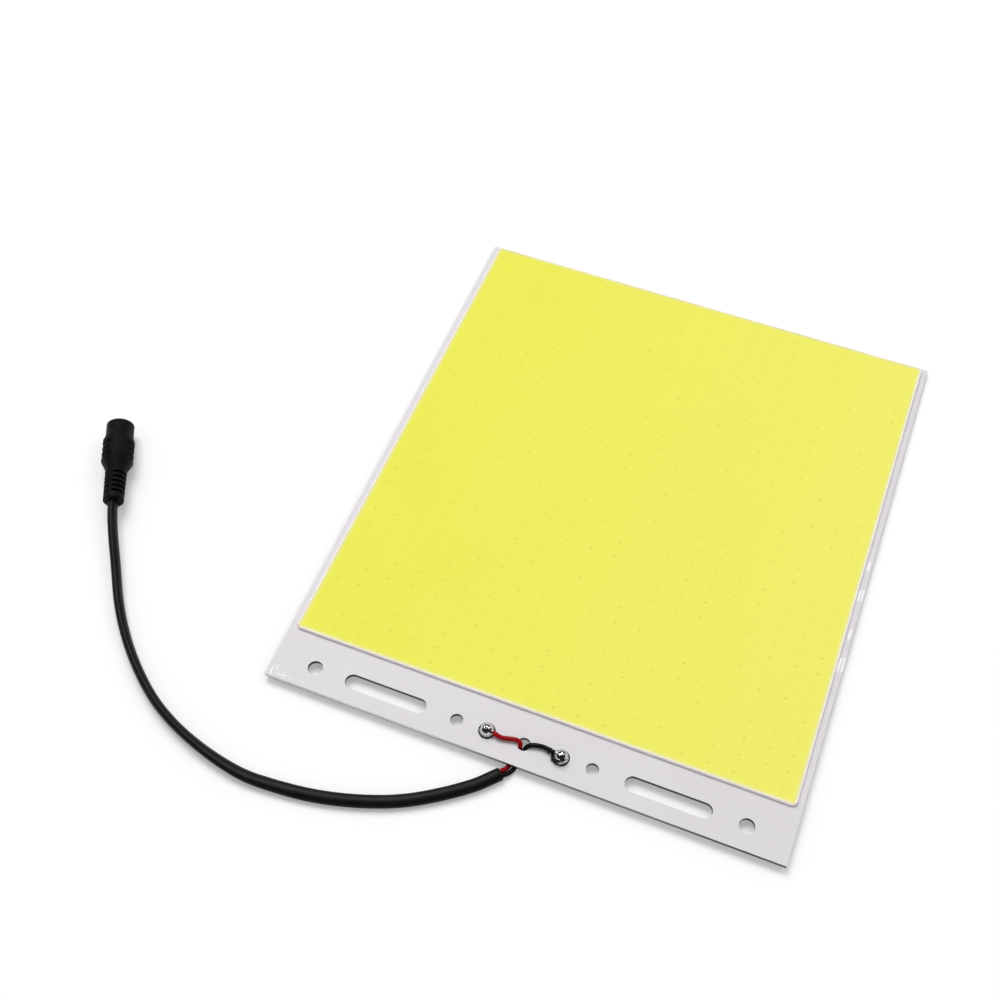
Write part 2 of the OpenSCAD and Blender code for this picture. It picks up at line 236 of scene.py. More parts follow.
def vectorCalc(tree, how, a, b=None):
    second = "Scale" if how == "SCALE" else 1
    node = newNode(tree, "VectorMath", {0: a, second: b}, operation=how)
    return node.outputs["Value" if how in ("DOT_PRODUCT", "LENGTH") else "Vector"]


def tint(tree, share, under, over):
    return newNode(tree, "Mix", {0: share, 6: under, 7: over}, data_type="RGBA").outputs[2]


def ranged(tree, value, low, high, lowOut=0.0, highOut=1.0, soft=False):
    values = {"Value": value, "From Min": low, "From Max": high, "To Min": lowOut, "To Max": highOut}
    kind = "SMOOTHSTEP" if soft else "LINEAR"
    return newNode(tree, "MapRange", values, interpolation_type=kind).outputs["Result"]


def noise(tree, spot, scale, detail):
    return newNode(tree, "TexNoise", {"Vector": spot, "Scale": scale, "Detail": detail}).outputs[0]


def split(tree, vector):
    return newNode(tree, "SeparateXYZ", {"Vector": vector}).outputs


def newGroup(name, takes, gives):
    tree = bpy.data.node_groups.new(name, "ShaderNodeTree")
    for socket, kind in takes:
        tree.interface.new_socket(socket, in_out="INPUT", socket_type="NodeSocket" + kind)
    for socket, kind in gives:
        tree.interface.new_socket(socket, in_out="OUTPUT", socket_type="NodeSocket" + kind)
    return tree, tree.nodes.new("NodeGroupInput").outputs, tree.nodes.new("NodeGroupOutput").inputs


def useGroup(tree, group, values):
    return newNode(tree, "Group", values, node_tree=group).outputs


def cleared(owner):
    owner.use_nodes = True
    owner.node_tree.nodes.clear()
    return owner.node_tree


# grain: fine and coarse noise, as cloudiness, as speckle and as height
grainLook = {"fineDetail": 4.0, "coarseDetail": 3.0, "spread": (0.3, 0.7), "coarseHeight": 0.5}
grainGroup, takes, gives = newGroup(
    "surfaceGrain",
    [("Place", "Vector"), ("Fine", "Float"), ("Coarse", "Float"), ("Stretch", "Vector")],
    [("Cloud", "Float"), ("Speckle", "Float"), ("Height", "Float")],
)
drawn = vectorCalc(grainGroup, "MULTIPLY", takes["Place"], takes["Stretch"])
fineNoise = noise(grainGroup, drawn, takes["Fine"], grainLook["fineDetail"])
coarseNoise = noise(grainGroup, drawn, takes["Coarse"], grainLook["coarseDetail"])
feed(grainGroup, gives["Cloud"], ranged(grainGroup, coarseNoise, *grainLook["spread"]))
feed(grainGroup, gives["Speckle"], ranged(grainGroup, fineNoise, *grainLook["spread"]))
height = calc(grainGroup, "MULTIPLY_ADD", coarseNoise, grainLook["coarseHeight"], fineNoise)
feed(grainGroup, gives["Height"], height)

# stroke: a soft mark along the line between two points on the board, ragged and broken up by noise
strokeLook = {
    "ragScale": 1400.0,
    "ragDetail": 3.0,
    "solid": 0.35,
    "hairsAlong": 4.0,
    "hairsAcross": 9000.0,
    "hairShift": 3000.0,
    "hairDetail": 2.0,
    "breaks": (0.45, 0.58),
}
strokeGroup, takes, gives = newGroup(
    "scuffStroke",
    [("Place", "Vector"), ("From", "Vector"), ("To", "Vector"),
     ("Width", "Float"), ("Rag", "Float"), ("Break", "Float")],
    [("Mask", "Float")],
)
reach = vectorCalc(strokeGroup, "SUBTRACT", takes["To"], takes["From"])
offset = vectorCalc(strokeGroup, "SUBTRACT", takes["Place"], takes["From"])
along = calc(strokeGroup, "DIVIDE", vectorCalc(strokeGroup, "DOT_PRODUCT", offset, reach),
             vectorCalc(strokeGroup, "DOT_PRODUCT", reach, reach))
along = ranged(strokeGroup, along, 0.0, 1.0)
gap = vectorCalc(strokeGroup, "SUBTRACT", offset, vectorCalc(strokeGroup, "SCALE", reach, along))
gap = vectorCalc(strokeGroup, "LENGTH", gap)
rag = noise(strokeGroup, takes["Place"], strokeLook["ragScale"], strokeLook["ragDetail"])
rag = calc(strokeGroup, "MULTIPLY_ADD", calc(strokeGroup, "SUBTRACT", rag, 0.5), takes["Rag"], 1.0)
edge = calc(strokeGroup, "MULTIPLY", takes["Width"], rag)
stroke = ranged(strokeGroup, calc(strokeGroup, "DIVIDE", gap, edge), strokeLook["solid"], 1.0, 1.0, 0.0, True)
hairs = newNode(strokeGroup, "CombineXYZ", {
    "X": calc(strokeGroup, "MULTIPLY", along, strokeLook["hairsAlong"]),
    "Y": calc(strokeGroup, "MULTIPLY", gap, strokeLook["hairsAcross"]),
}).outputs[0]
hairs = vectorCalc(strokeGroup, "ADD", hairs,
                   vectorCalc(strokeGroup, "SCALE", takes["From"], strokeLook["hairShift"]))
left = noise(strokeGroup, hairs, 1.0, strokeLook["hairDetail"])
left = ranged(strokeGroup, left, *strokeLook["breaks"], soft=True)
left = calc(strokeGroup, "MULTIPLY_ADD", takes["Break"], calc(strokeGroup, "SUBTRACT", left, 1.0), 1.0)
feed(strokeGroup, gives["Mask"], calc(strokeGroup, "MULTIPLY", stroke, left))
print("node groups made")


# a finish starts as a plain shader with the grain beside it
def newFinish(name, fine, coarse, stretch=(1, 1, 1), **plain):
    material = bpy.data.materials.new(name)
    tree = cleared(material)
    shader = newNode(tree, "BsdfPrincipled")
    newNode(tree, "OutputMaterial", {"Surface": shader.outputs["BSDF"]})
    for socket, value in plain.items():
        shader.inputs[socket.replace("_", " ")].default_value = value
    spot = newNode(tree, "TexCoord").outputs["Object"]
    grain = useGroup(tree, grainGroup, {"Place": spot, "Fine": fine, "Coarse": coarse, "Stretch": stretch})
    return material, tree, shader, spot, grain


def speckled(tree, grain, rough):
    return ranged(tree, grain["Speckle"], 0.0, 1.0, *rough)


def dress(tree, shader, colour, dull, bumpBy, height, bumpReach=0.0002):
    bump = newNode(tree, "Bump", {"Strength": bumpBy, "Distance": bumpReach, "Height": height})
    feed(tree, shader.inputs["Base Color"], colour)
    feed(tree, shader.inputs["Roughness"], dull)
    feed(tree, shader.inputs["Normal"], bump.outputs[0])


# how far a point lies outside the centre line of the bead, in metres
def outside(tree, parts, run):
    aside = calc(tree, "SUBTRACT", calc(tree, "ABSOLUTE", parts["X"]), run["x"] / 1000)
    ahead = calc(tree, "SUBTRACT", run["front"] / 1000, parts["Y"])
    behind = calc(tree, "SUBTRACT", parts["Y"], run["back"] / 1000)
    return calc(tree, "MAXIMUM", aside, calc(tree, "MAXIMUM", ahead, behind))


# the board's top and far edge, and how far the floor falls along its length; then the runs on its top
board = {"top": 1.6, "far": 202, "long": 210, "drop": 1.64}
dieGrid = {"pitchX": 8.8, "pitchY": 6.248, "firstY": 15.3, "outer": 82.4, "fieldX": 79.2}
damRun = {"x": 87.3, "front": 11.9, "back": 201.0}

# a look's grain is its fine scale, coarse scale and perhaps stretch; lengths are in metres unless noted

# white lacquer with rubs at the front left corner, and bright marks on the right border that are partly rubs
# and partly painted highlights
lacquerLook = {
    "grain": (2600.0, 38.0),
    "clean": ((0.715, 0.688, 0.722, 1), (0.75, 0.728, 0.75, 1)),
    "cloudy": 0.6,
    "rubsAndGlints": (1.0, 1.0, 1.0, 1),
    "rough": (0.42, 0.5),
    "bump": 0.04,
    "marks": [  # from x y, to x y, half width, raggedness, how broken up, how strong; lengths in millimetres
        (-88.65, -5.7, -88.1, -7.2, 0.36, 1.0, 0.3, 1.0),
        (-88.45, -5.1, -88.3, -5.4, 0.34, 0.8, 0.2, 1.0),
        (-87.55, -4.55, -86.8, -4.9, 0.36, 1.2, 0.4, 0.9),
        (-87.35, -3.9, -86.9, -3.65, 0.30, 1.0, 0.3, 0.6),
        (-86.2, -6.25, -85.85, -6.15, 0.30, 1.0, 0.3, 0.75),
        (-85.4, -6.5, -85.05, -6.4, 0.32, 1.0, 0.3, 0.9),
        (-84.5, -6.5, -83.1, -6.3, 0.36, 1.2, 0.4, 0.85),
        (-84.1, -5.4, -83.75, -5.25, 0.35, 1.0, 0.4, 0.45),
        (-81.75, -6.4, -80.7, -6.35, 0.35, 1.2, 0.5, 0.5),
        (-77.6, -6.2, -77.1, -6.15, 0.30, 1.0, 0.4, 0.5),
        (-76.6, -6.4, -76.15, -6.25, 0.30, 1.0, 0.4, 0.5),
        # on the right border: partly rubs, partly painted glints of light beside the bead
        (88.9, 105.6, 89.0, 108.9, 0.55, 1.0, 0.2, 1.0),
        (88.5, 92.2, 88.5, 96.2, 0.50, 1.0, 0.2, 1.0),
        (89.7, 92.4, 89.7, 97.0, 0.45, 1.0, 0.2, 1.0),
        (89.0, 76.6, 89.2, 79.8, 0.60, 0.9, 0.1, 1.0),
        (88.3, 63.4, 88.4, 68.0, 0.55, 0.9, 0.1, 1.0),
        (89.7, 63.8, 89.8, 68.6, 0.50, 0.9, 0.1, 1.0),
    ],
}


def lacquerFinish(look):
    material, tree, shader, spot, grain = newFinish("whiteLacquer", *look["grain"], Specular_IOR_Level=0.35)
    colour = tint(tree, calc(tree, "MULTIPLY", grain["Cloud"], look["cloudy"]), *look["clean"])
    rubsAndGlints = 0.0
    for x0, y0, x1, y1, half, ragged, broken, strong in look["marks"]:
        mark = useGroup(tree, strokeGroup, {
            "Place": spot,
            "From": (x0 / 1000, y0 / 1000, board["top"] / 1000),
            "To": (x1 / 1000, y1 / 1000, board["top"] / 1000),
            "Width": half / 1000,
            "Rag": ragged,
            "Break": broken,
        })
        rubsAndGlints = calc(tree, "MAXIMUM", rubsAndGlints, calc(tree, "MULTIPLY", mark["Mask"], strong))
    # the marks whiten the lacquer: wear at the corner, wear and painted highlights on the right border
    colour = tint(tree, rubsAndGlints, colour, look["rubsAndGlints"])
    dress(tree, shader, colour, speckled(tree, grain, look["rough"]), look["bump"], grain["Height"])
    return material


# sheared aluminium: drawn lines on the faces, cut walls painted dark as shade, and along the front edge a
# bright stripe that is partly a burnished burr and partly a painted highlight, fading towards the right
aluminiumLook = {
    "grain": (900.0, 60.0, (1, 0.03, 1)),
    "face": ((0.58, 0.59, 0.60, 1), (0.70, 0.71, 0.72, 1)),
    # painted shade: the cut walls are darkened to stand for the shadowed floor they reflect
    "shadedWall": ((0.03, 0.03, 0.032, 1), (0.07, 0.07, 0.074, 1)),
    "burrAndHighlight": (0.96, 0.96, 0.96, 1),
    "bandFoot": (0.00056, 0.00064),
    "bandTop": (0.00110, 0.00118),
    "frontY": -0.0078,
    "leftFade": (-0.04, 0.0, 1.0, 0.3),
    "rightFade": (0.045, 0.065, 1.0, 0.15),
    "lean": (0.0005, 0.00118, 0.0, -0.25),
    "rough": (0.34, 0.48),
    "bandShine": 0.4,
    "lines": 0.012,
    "bump": 1.0,
    "bumpReach": 0.001,
}


def aluminiumFinish(look):
    material, tree, shader, spot, grain = newFinish("sheetAluminium", *look["grain"], Metallic=1.0)
    parts = split(tree, spot)
    facing = split(tree, newNode(tree, "TexCoord").outputs["Normal"])
    flat = calc(tree, "GREATER_THAN", calc(tree, "ABSOLUTE", facing["Z"]), 0.5)
    # the bright stripe on the front edge: a burnished burr with a painted highlight, full on the left and
    # fading out towards the right
    front = calc(tree, "MULTIPLY", ranged(tree, parts["X"], *look["leftFade"], True),
                 ranged(tree, parts["X"], *look["rightFade"], True))
    front = calc(tree, "MULTIPLY", calc(tree, "LESS_THAN", parts["Y"], look["frontY"]), front)
    burrAndHighlight = calc(tree, "MULTIPLY", ranged(tree, parts["Z"], *look["bandTop"], 1.0, 0.0, True),
                ranged(tree, parts["Z"], *look["bandFoot"], 0.0, 1.0, True))
    burrAndHighlight = calc(tree, "MULTIPLY", burrAndHighlight, front)
    # painted shade on the cut walls, painted highlight in the front-edge stripe
    shadedWall = tint(tree, burrAndHighlight, tint(tree, grain["Cloud"], *look["shadedWall"]), look["burrAndHighlight"])
    colour = tint(tree, flat, shadedWall, tint(tree, grain["Speckle"], *look["face"]))
    dull = ranged(tree, grain["Cloud"], 0.0, 1.0, *look["rough"])
    dull = calc(tree, "MULTIPLY", dull, ranged(tree, burrAndHighlight, 0.0, 1.0, 1.0, look["bandShine"]))
    lean = calc(tree, "MULTIPLY", front, ranged(tree, parts["Z"], *look["lean"]))
    lean = calc(tree, "MULTIPLY_ADD", grain["Speckle"], look["lines"], lean)
    dress(tree, shader, colour, dull, look["bump"], lean, look["bumpReach"])
    return material


# yellow silicone: clouded, with a painted sheen that makes it paler and bluer to the right, paler beside the
# bead, with a faint olive mark over each die
phosphorLook = {
    "grain": (3000.0, 26.0),
    "plain": ((0.845, 0.84, 0.06, 1), (0.865, 0.855, 0.072, 1)),
    # painted sheen: the colour the coat turns to at the right, where a lamp's sheen fell
    "right": (0.90, 0.875, 0.128, 1),
    "paintedSheenRightward": (-0.08, 0.085),
    "rim": (0.90, 0.865, 0.32, 1),
    "rimward": (-0.0017, -0.0004, 0.0, 0.65),
    "mark": (0.52, 0.5, 0.05, 1),
    "markHalf": (0.78, 0.5),  # in millimetres
    "markSolid": 0.35,
    "markShare": 0.38,
    "markLeast": 0.2,
    "rough": (0.5, 0.62),
    "bump": 0.06,
}


def phosphorFinish(look, grid, run):
    material, tree, shader, spot, grain = newFinish("phosphorYellow", *look["grain"], Specular_IOR_Level=0.3)
    parts = split(tree, spot)
    x = calc(tree, "MULTIPLY", calc(tree, "ABSOLUTE", parts["X"]), 1000.0)
    y = calc(tree, "MULTIPLY", parts["Y"], 1000.0)
    halfPitch = grid["pitchX"] / 2
    column = calc(tree, "DIVIDE", calc(tree, "SUBTRACT", x, halfPitch), grid["pitchX"])
    inner = calc(tree, "SUBTRACT", column, calc(tree, "ROUND", column))
    inner = calc(tree, "MULTIPLY", inner, grid["pitchX"])
    outer = calc(tree, "SUBTRACT", x, grid["outer"])
    atEdge = calc(tree, "GREATER_THAN", x, grid["fieldX"])
    offX = calc(tree, "MULTIPLY_ADD", atEdge, calc(tree, "SUBTRACT", outer, inner), inner)
    row = calc(tree, "DIVIDE", calc(tree, "SUBTRACT", y, grid["firstY"]), grid["pitchY"])
    offY = calc(tree, "SUBTRACT", row, calc(tree, "ROUND", row))
    offY = calc(tree, "MULTIPLY", offY, grid["pitchY"])
    squares = [calc(tree, "POWER", calc(tree, "DIVIDE", off, half), 2.0)
               for off, half in zip((offX, offY), look["markHalf"])]
    away = calc(tree, "SQRT", calc(tree, "ADD", *squares))
    cell = newNode(tree, "CombineXYZ", {
        "X": calc(tree, "ROUND", calc(tree, "DIVIDE", parts["X"], halfPitch / 1000)),
        "Y": calc(tree, "ROUND", row),
    }).outputs[0]
    chance = newNode(tree, "TexWhiteNoise", {"Vector": cell}, noise_dimensions="2D").outputs["Value"]
    mark = calc(tree, "MULTIPLY", ranged(tree, away, look["markSolid"], 1.0, 1.0, 0.0, True),
                ranged(tree, chance, 0.0, 1.0, look["markLeast"], 1.0))
    colour = tint(tree, grain["Cloud"], *look["plain"])
    # painted sheen: paler and bluer towards the right
    colour = tint(tree, ranged(tree, parts["X"], *look["paintedSheenRightward"]), colour, look["right"])
    pale = ranged(tree, outside(tree, parts, run), *look["rimward"], True)
    colour = tint(tree, pale, colour, look["rim"])
    colour = tint(tree, calc(tree, "MULTIPLY", mark, look["markShare"]), colour, look["mark"])
    dress(tree, shader, colour, speckled(tree, grain, look["rough"]), look["bump"], grain["Height"])
    return material


# cast silicone bead: pinkish white, yellow where the coat shows through its inner side, darker at the foot,
# partly the lacquer showing through its thin edge and partly painted contact shade
beadLook = {
    "grain": (1500.0, 90.0),
    "clean": ((0.95, 0.86, 0.87, 1), (0.97, 0.90, 0.90, 1)),
    "soaked": (0.88, 0.85, 0.16, 1),
    "inward": (-0.0006, 0.0004, 0.8, 0.0),
    # darker foot: partly lacquer seen through the thin edge, partly painted contact shade
    "foot": (0.82, 0.73, 0.76, 1),
    "footTop": 0.00178,
    "rough": (0.38, 0.5),
    "bump": 0.08,
}


def beadFinish(look, run):
    material, tree, shader, spot, grain = newFinish(
        "damSilicone", *look["grain"], Specular_IOR_Level=0.3, Subsurface_Weight=0.8,
        Subsurface_Radius=(1.0, 1.0, 1.0), Subsurface_Scale=0.0006)
    parts = split(tree, spot)
    colour = tint(tree, grain["Cloud"], *look["clean"])
    soaked = ranged(tree, outside(tree, parts, run), *look["inward"])
    colour = tint(tree, soaked, colour, look["soaked"])
    # partly painted contact shade: the foot is darkened up to footTop
    foot = ranged(tree, parts["Z"], board["top"] / 1000, look["footTop"], 1.0, 0.0, True)
    colour = tint(tree, foot, colour, look["foot"])
    dress(tree, shader, colour, speckled(tree, grain, look["rough"]), look["bump"], grain["Height"])
    return material


# tin solder: a mirror on the dome, duller towards the foot, and dark at its rim, partly a flux ring and
# partly painted contact shade and dark reflection
solderLook = {
    "grain": (1800.0, 420.0),
    "tin": ((0.72, 0.72, 0.73, 1), (0.84, 0.84, 0.84, 1)),
    # dark rim: partly flux, partly painted shade and painted dark reflection at the foot
    "rim": (0.06, 0.06, 0.06, 1),
    "fluxAndShadeTop": (0.0017, 0.0018),
    "footTop": (0.00178, 0.00205),
    "footDull": 0.15,
    "rough": (0.05, 0.11),
    "bump": 0.06,
}


def solderFinish(look):
    material, tree, shader, spot, grain = newFinish("tinSolder", *look["grain"], Metallic=1.0)
    z = split(tree, spot)["Z"]
    # partly painted shade: the rim is darkened near the copper
    rim = ranged(tree, z, *look["fluxAndShadeTop"], 1.0, 0.0, True)
    colour = tint(tree, rim, tint(tree, grain["Cloud"], *look["tin"]), look["rim"])
    foot = ranged(tree, z, *look["footTop"], 1.0, 0.0, True)
    dull = calc(tree, "MULTIPLY_ADD", foot, look["footDull"], speckled(tree, grain, look["rough"]))
    dress(tree, shader, colour, dull, look["bump"], grain["Height"])
    return material


# plain finishes on the grain: two colours, a roughness range, the grain's two scales and a bump
def grainFinish(name, dark, light, rough, fine, coarse, bumpBy, **plain):
    material, tree, shader, _, grain = newFinish(name, fine, coarse, **plain)
    colour = tint(tree, grain["Cloud"], (*dark, 1), (*light, 1))
    dress(tree, shader, colour, speckled(tree, grain, rough), bumpBy, grain["Height"])
    return material


finishes = {
    "lacquer": lacquerFinish(lacquerLook),
    "aluminium": aluminiumFinish(aluminiumLook),
    "phosphor": phosphorFinish(phosphorLook, dieGrid, damRun),
    "bead": beadFinish(beadLook, damRun),
    "bond": grainFinish("bondLayer", (0.10, 0.10, 0.10), (0.17, 0.165, 0.16), (0.5, 0.65),
                        1800.0, 200.0, 0.1),
    "copper": grainFinish("trackCopper", (0.66, 0.32, 0.19), (0.78, 0.44, 0.29), (0.3, 0.42),
                          1500.0, 80.0, 0.1, Metallic=1.0),
    "die": grainFinish("chipBlue", (0.16, 0.26, 0.42), (0.24, 0.36, 0.54), (0.18, 0.28),
                       3000.0, 600.0, 0.05),
    "solder": solderFinish(solderLook),
    "tinned": grainFinish("tinnedStrands", (0.62, 0.60, 0.57), (0.76, 0.75, 0.73), (0.25, 0.35),
                          4000.0, 600.0, 0.2, stretch=(0.1, 1, 1), Metallic=1.0),
    "red": grainFinish("redSleeve", (0.26, 0.0015, 0.004), (0.35, 0.003, 0.007), (0.16, 0.24),
                       1600.0, 260.0, 0.1, Specular_IOR_Level=0.22),
    "black": grainFinish("blackSleeve", (0.003, 0.003, 0.0035), (0.006, 0.006, 0.0065), (0.18, 0.26),
                         1600.0, 260.0, 0.1, Specular_IOR_Level=0.13),
    "sheath": grainFinish("blackSheath", (0.004, 0.004, 0.0042), (0.0075, 0.0075, 0.008), (0.36, 0.5),
                          1900.0, 150.0, 0.1, Specular_IOR_Level=0.16),
    "moulding": grainFinish("blackMoulding", (0.0035, 0.0035, 0.004), (0.007, 0.007, 0.0075), (0.48, 0.62),
                            2600.0, 300.0, 0.25, Specular_IOR_Level=0.08),
    "liner": grainFinish("blackLiner", (0.008, 0.008, 0.008), (0.014, 0.014, 0.014), (0.42, 0.55),
                         2000.0, 300.0, 0.12, Specular_IOR_Level=0.3),
    "nickel": grainFinish("contactNickel", (0.62, 0.60, 0.56), (0.74, 0.73, 0.69), (0.16, 0.26),
                          2400.0, 300.0, 0.06, Metallic=1.0),
}
dressed = {
    "base_plate": "aluminium",
    "insulation_layer": "bond",
    "positive_track": "copper",
    "negative_track": "copper",
    "link_strips": "copper",
    "solder_mask": "lacquer",
    "led_dies": "die",
    "red_wire_end": "tinned",
    "black_wire_end": "tinned",
    "jack_liner": "liner",
    "jack_spring_contact": "nickel",
    "jack_centre_pin": "nickel",
}
for name, finish in dressed.items():
    nodes[name].data.materials.clear()
    nodes[name].data.materials.append(finishes[finish])
print("finishes made:", len(finishes))

# jack: where it lies, the stations of its turned moulding (along, radius) and what is cut out of it
jack = {
    "place": (-170.7, 31.8, 4.576),
    "turn": 115.7,
    "roll": 16,
    "sheathRoll": 74,
    "sheathRun": 4,
    "stations": [(0, 3.2), (0.5, 3.7), (13.8, 3.9), (17.5, 5.75), (26.6, 5.75), (28.3, 5.05), (34.0, 5.05),
                 (34.3, 4.75)],
    "sides": 72,
    "bore": {"round": 3.9, "deep": 13, "over": 1},
    "grooves": {"at": (18.95, 21.45, 23.95), "wide": 0.8, "flare": 0.8125, "inner": 4.95, "tall": 1.0,
                "from": -59, "sweep": 118},
    "slots": {"at": (3.2, 5.225, 7.25, 9.275, 11.3), "wide": 1.0, "flare": 0, "inner": 2.45, "tall": 3.6,
              "from": 70.5, "sweep": 155},
    "sweepSteps": 30,
    "weld": 0.002,
    "slivers": 0.001,
    "smooth": 32,
}

# lead: an oval sheath that lies on the floor and rolls onto its edge towards the jack
lead = {
    "wide": 4.5,
    "thick": 3.2,
    "sides": 40,
    "end": (-3.5, -11.5),
    "endRun": 3,
    "rim": 0.3,
    "rimWidth": 0.88,
    "points": [  # x, y, roll in degrees, lift off the floor
        (-10, -18.5, 0, 0), (-20, -26, 0, 0), (-30, -32, 0, 0), (-40, -36, 0, 0), (-50, -39, 0, 0),
        (-60, -41, 0, 0), (-70, -42, 10, 0), (-80, -42.5, 25, 0), (-90, -41, 43, 0), (-100, -38.5, 62, 0),
        (-110, -35, 76, 0), (-120, -30, 84, 0), (-129.8, -22.9, 86, 0), (-139.7, -13.9, 82, 0),
        (-149.2, -2.9, 77, 0.3), (-158, 10.7, 75, 1.2), (-164.6, 20.6, 74, 2.6),
    ],
    "length": 0.208,
}


# the board leans on its far edge and on the cores, so the floor falls to the front
def floorZ(y):
    return -board["drop"] * (board["far"] - y) / board["long"]


def sheathHalf(roll):
    lean = math.radians(roll)
    return math.hypot(lead["wide"] / 2 * math.sin(lean), lead["thick"] / 2 * math.cos(lean))


jackWay = (math.cos(math.radians(jack["turn"])), math.sin(math.radians(jack["turn"])))
leadWay = (Vector(lead["end"]) - Vector(lead["points"][0][:2])).normalized()
endX, endY = lead["end"]
endZ = floorZ(endY) + sheathHalf(0)
leadRoute = [(endX - back * leadWay[0], endY - back * leadWay[1], endZ, 0) for back in (0, lead["endRun"])]
for x, y, roll, lift in lead["points"]:
    leadRoute.append((x, y, floorZ(y) + sheathHalf(roll) + lift, roll))
for back in (jack["sheathRun"], 0):
    leadRoute.append((jack["place"][0] - back * jackWay[0], jack["place"][1] - back * jackWay[1],
                      jack["place"][2], jack["sheathRoll"]))
leadLine = eased(leadRoute)
rimShare = lead["rim"] / math.dist(leadLine[0][:3], leadLine[1][:3])  # the cut end is rounded over its rim
leadLine.insert(1, between(leadLine[0], leadLine[1], rimShare))
leadWidths = [lead["rimWidth"]] + [1] * (len(leadLine) - 1)
sheathOutline = ovalCurve("ovalOutline", lead["wide"] / 2, lead["thick"] / 2, lead["sides"])
sheath = threaded("leadSheath", leadLine, rolls=[math.radians(p[3]) for p in leadLine], widths=leadWidths,
                  outline=sheathOutline, twist="Z_UP")
bpy.data.objects.remove(sheathOutline)
settle(sheath, finishes["sheath"])
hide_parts("lead_jacket")

# cores: side by side under the board, up through the wire hole and over to the joints
core = {
    "thick": 1.6,
    "side": 0.82,
    "endRun": 0.6,
    "red": [
        (-2.8, -9.4, -0.656), (-2.2, -8.2, -0.82), (-1.5, -5.6, -0.82), (-0.92, -3.2, -0.82),
        (-0.82, -1.832, -0.82), (-0.82, -1.232, -0.32), (-0.82, -1.232, 0.4), (-0.82, -1.032, 1.6),
        (-1.2, -0.1, 2.35), (-2.5, 0.3, 2.55), (-5, -0.3, 2.55), (-7.2, -0.9, 2.55), (-8.8, -0.8, 2.8),
        (-10.2, -0.4, 2.9), (-11.0, -0.4, 2.9), (-11.4, -0.4, 2.9),
    ],
    "black": [
        (-1.3, -10.4, -0.492), (-0.5, -8.9, -0.82), (0, -7, -0.82), (0.5, -4.8, -0.82), (0.82, -3, -0.82),
        (0.82, -1.832, -0.82), (0.82, -1.232, -0.32), (0.82, -1.232, 0.4), (0.92, -1.032, 1.4),
        (1.6, -0.3, 2.15), (2.6, 0.3, 2.55), (4.4, 0.8, 2.65), (6.4, 1.1, 2.55), (8.3, 0.9, 2.7),
        (10.2, 0.4, 2.9), (11.0, 0.4, 2.9), (11.4, 0.4, 2.9),
    ],
    "heat": {"from": 5.5, "over": 3.5, "above": 2, "shrink": 0.04, "waves": [(0.09, 1.7, 0), (0.06, 0.9, 1)]},
}


# a core's line starts beside its fellow in the sheath's end
def coreLine(side, points):
    aside = Vector((leadWay[1], -leadWay[0], 0)) * core["side"] * side
    start = Vector((endX, endY, endZ)) + aside
    return eased([tuple(start), tuple(start + Vector((*leadWay, 0)) * core["endRun"]), *points])


redCore = threaded("redCore", coreLine(-1, core["red"]), depth=core["thick"] / 2)
settle(redCore, finishes["red"])
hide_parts("red_core")
blackLine = coreLine(1, core["black"])
heat = core["heat"]
lumps = []  # the black sleeve shrank and wrinkled towards the heat
for k, (x, y, z) in enumerate(blackLine):
    heated = max(0, min(1, (x - heat["from"]) / heat["over"])) if z > heat["above"] else 0
    lumps.append(1 + heated * (waver(k, heat["waves"]) - heat["shrink"]))
blackCore = threaded("blackCore", blackLine, widths=lumps, depth=core["thick"] / 2)

# torn tongue of the black sleeve round the front of its joint, and the shreds beside it
torn = {
    "tongue": [
        (9.2, 0.3, 3.0), (10.0, -0.6, 2.9), (10.9, -1.65, 2.6), (11.6, -2.3, 2.75), (12.5, -2.48, 3.25),
        (13.3, -2.25, 3.7), (14.1, -1.75, 3.9), (14.8, -1.05, 3.75), (15.2, -0.4, 3.4),
    ],
    "tall": 0.38,
    "thick": 0.24,
    "sides": 16,
    "rootWidth": 1.05,
    "taper": 0.75,
    "waves": [(0.16, 1.3, 0), (0.1, 2.9, 0)],
    "shreds": [
        ((8.5, 0.6, 2.4), (8.4, -0.4, 2.0)), ((10.1, -0.4, 2.8), (10.0, -1.45, 2.05)),
        ((11.2, -1.8, 2.6), (10.0, -2.05, 1.9)), ((11.9, -2.3, 2.7), (11.3, -2.75, 1.95)),
    ],
    "shredWidths": [1.2, 1.25, 1.1, 1.0, 0.8, 0.35],
}
bandOutline = ovalCurve("bandOutline", torn["thick"], torn["tall"], torn["sides"])
tornLine = eased(torn["tongue"])
ragged = []
for k in range(len(tornLine)):
    share = k / (len(tornLine) - 1)
    ragged.append((torn["rootWidth"] - torn["taper"] * share ** 2) * (1 + waver(k, torn["waves"])))
tornPieces = [threaded("tornTongue", tornLine, widths=ragged, outline=bandOutline, twist="Z_UP")]
shredSteps = len(torn["shredWidths"])
for root, tip in torn["shreds"]:
    shredLine = [between(root, tip, k / (shredSteps - 1)) for k in range(shredSteps)]
    tornPieces.append(threaded("shred", shredLine, widths=torn["shredWidths"], outline=bandOutline,
                               twist="Z_UP"))
bpy.data.objects.remove(bandOutline)
blackCore = joined("blackCore", [blackCore, *tornPieces])
settle(blackCore, finishes["black"])
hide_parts("black_core")

# solder joints: a domed bead of tin, a hump over the wire and a wetted foot
joint = {
    "x": 12.9,
    "copper": 1.57,
    "dome": {"round": 2.25, "mid": 2.37},
    "foot": {"round": 3.12, "topRound": 2.15, "tall": 0.5},
    "hump": {"inward": 1.3, "aside": 0.35, "mid": 2.85, "half": (1.5, 1.05, 1.1)},
    "voxel": 0.11,
    "waveSize": 1.5,
    "waveHigh": 0.4,
    "relax": 0.6,
    "relaxRounds": 8,
    "smooth": 60,
}


